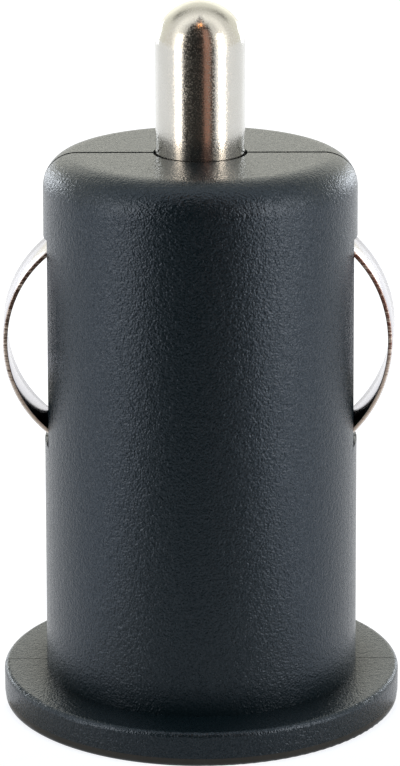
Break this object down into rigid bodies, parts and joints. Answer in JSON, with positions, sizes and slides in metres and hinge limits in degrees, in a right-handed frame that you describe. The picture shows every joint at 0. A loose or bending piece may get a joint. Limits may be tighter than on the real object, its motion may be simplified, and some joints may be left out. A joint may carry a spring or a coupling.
{
  "type": "car usb charger plug",
  "caption": "Barrel plug for a 12 V car socket: sprung centre tip, two bowed side springs, split moulded housing, and a flanged end with a USB-A port.",
  "frame": {"origin": "centre of the port face, on the surface that the plug stands on", "axes": "+Z along the barrel to the tip; the housing parts on Y = 0, with the front shell at -Y; the side springs stand out along -X and +X"},
  "size_m": [0.0266, 0.0266, 0.0472],
  "materials": {
    "shell": "black moulded plastic with a fine spark-eroded texture",
    "plate": "smooth black plastic",
    "nickel": "bright nickel plate",
    "spring_steel": "drawn spring wire",
    "brass": "plain sheet",
    "gold_contact": "plated sheet",
    "board": "solder mask over glass fibre board",
    "tin_sheet": "tin-plated sheet",
    "insulator": "white moulded plastic",
    "chip_body": "moulded package",
    "ferrite": "sintered ferrite",
    "copper_wire": "enamelled copper wire",
    "capacitor_can": "sleeved can",
    "led_body": "clear moulded lamp",
    "clear_plastic": "clear plastic",
    "resistor_body": "glazed chip",
    "capacitor_body": "bare ceramic chip"
  },
  "bodies": {
    "housing": {"front_shell": "shell", "rear_shell": "shell", "face_plate": "plate", "tip_spring": "spring_steel", "positive_terminal": "brass", "left_ground_tab": "brass", "right_ground_tab": "brass", "circuit_board": "board", "usb_shield": "tin_sheet", "usb_insulator": "insulator", "usb_contact_1": "gold_contact", "usb_contact_2": "gold_contact", "usb_contact_3": "gold_contact", "usb_contact_4": "gold_contact", "converter_chip": "chip_body", "inductor_core": "ferrite", "inductor_winding": "copper_wire", "input_capacitor": "capacitor_can", "output_capacitor": "capacitor_can", "diode": "chip_body", "indicator_led": "led_body", "light_pipe": "clear_plastic", "resistor_1": "resistor_body", "resistor_2": "resistor_body", "resistor_3": "resistor_body", "resistor_4": "resistor_body", "ceramic_capacitor_1": "capacitor_body", "ceramic_capacitor_2": "capacitor_body"},
    "tip": {"tip_contact": "nickel"},
    "left_spring": {"left_side_contact": "nickel"},
    "right_spring": {"right_side_contact": "nickel"}
  },
  "joints": [
    {"name": "tip_press", "type": "slide", "parent": "housing", "child": "tip", "axis": [0, 0, -1], "range_m": [0, 0.005], "stiffness_N_per_m": 800, "deforming": ["tip_spring"]},
    {"name": "left_spring_press", "type": "slide", "parent": "housing", "child": "left_spring", "axis": [1, 0, 0], "range_m": [0, 0.0026], "stiffness_N_per_m": 1500},
    {"name": "right_spring_press", "type": "slide", "parent": "housing", "child": "right_spring", "axis": [-1, 0, 0], "range_m": [0, 0.0026], "stiffness_N_per_m": 1500}
  ]
}
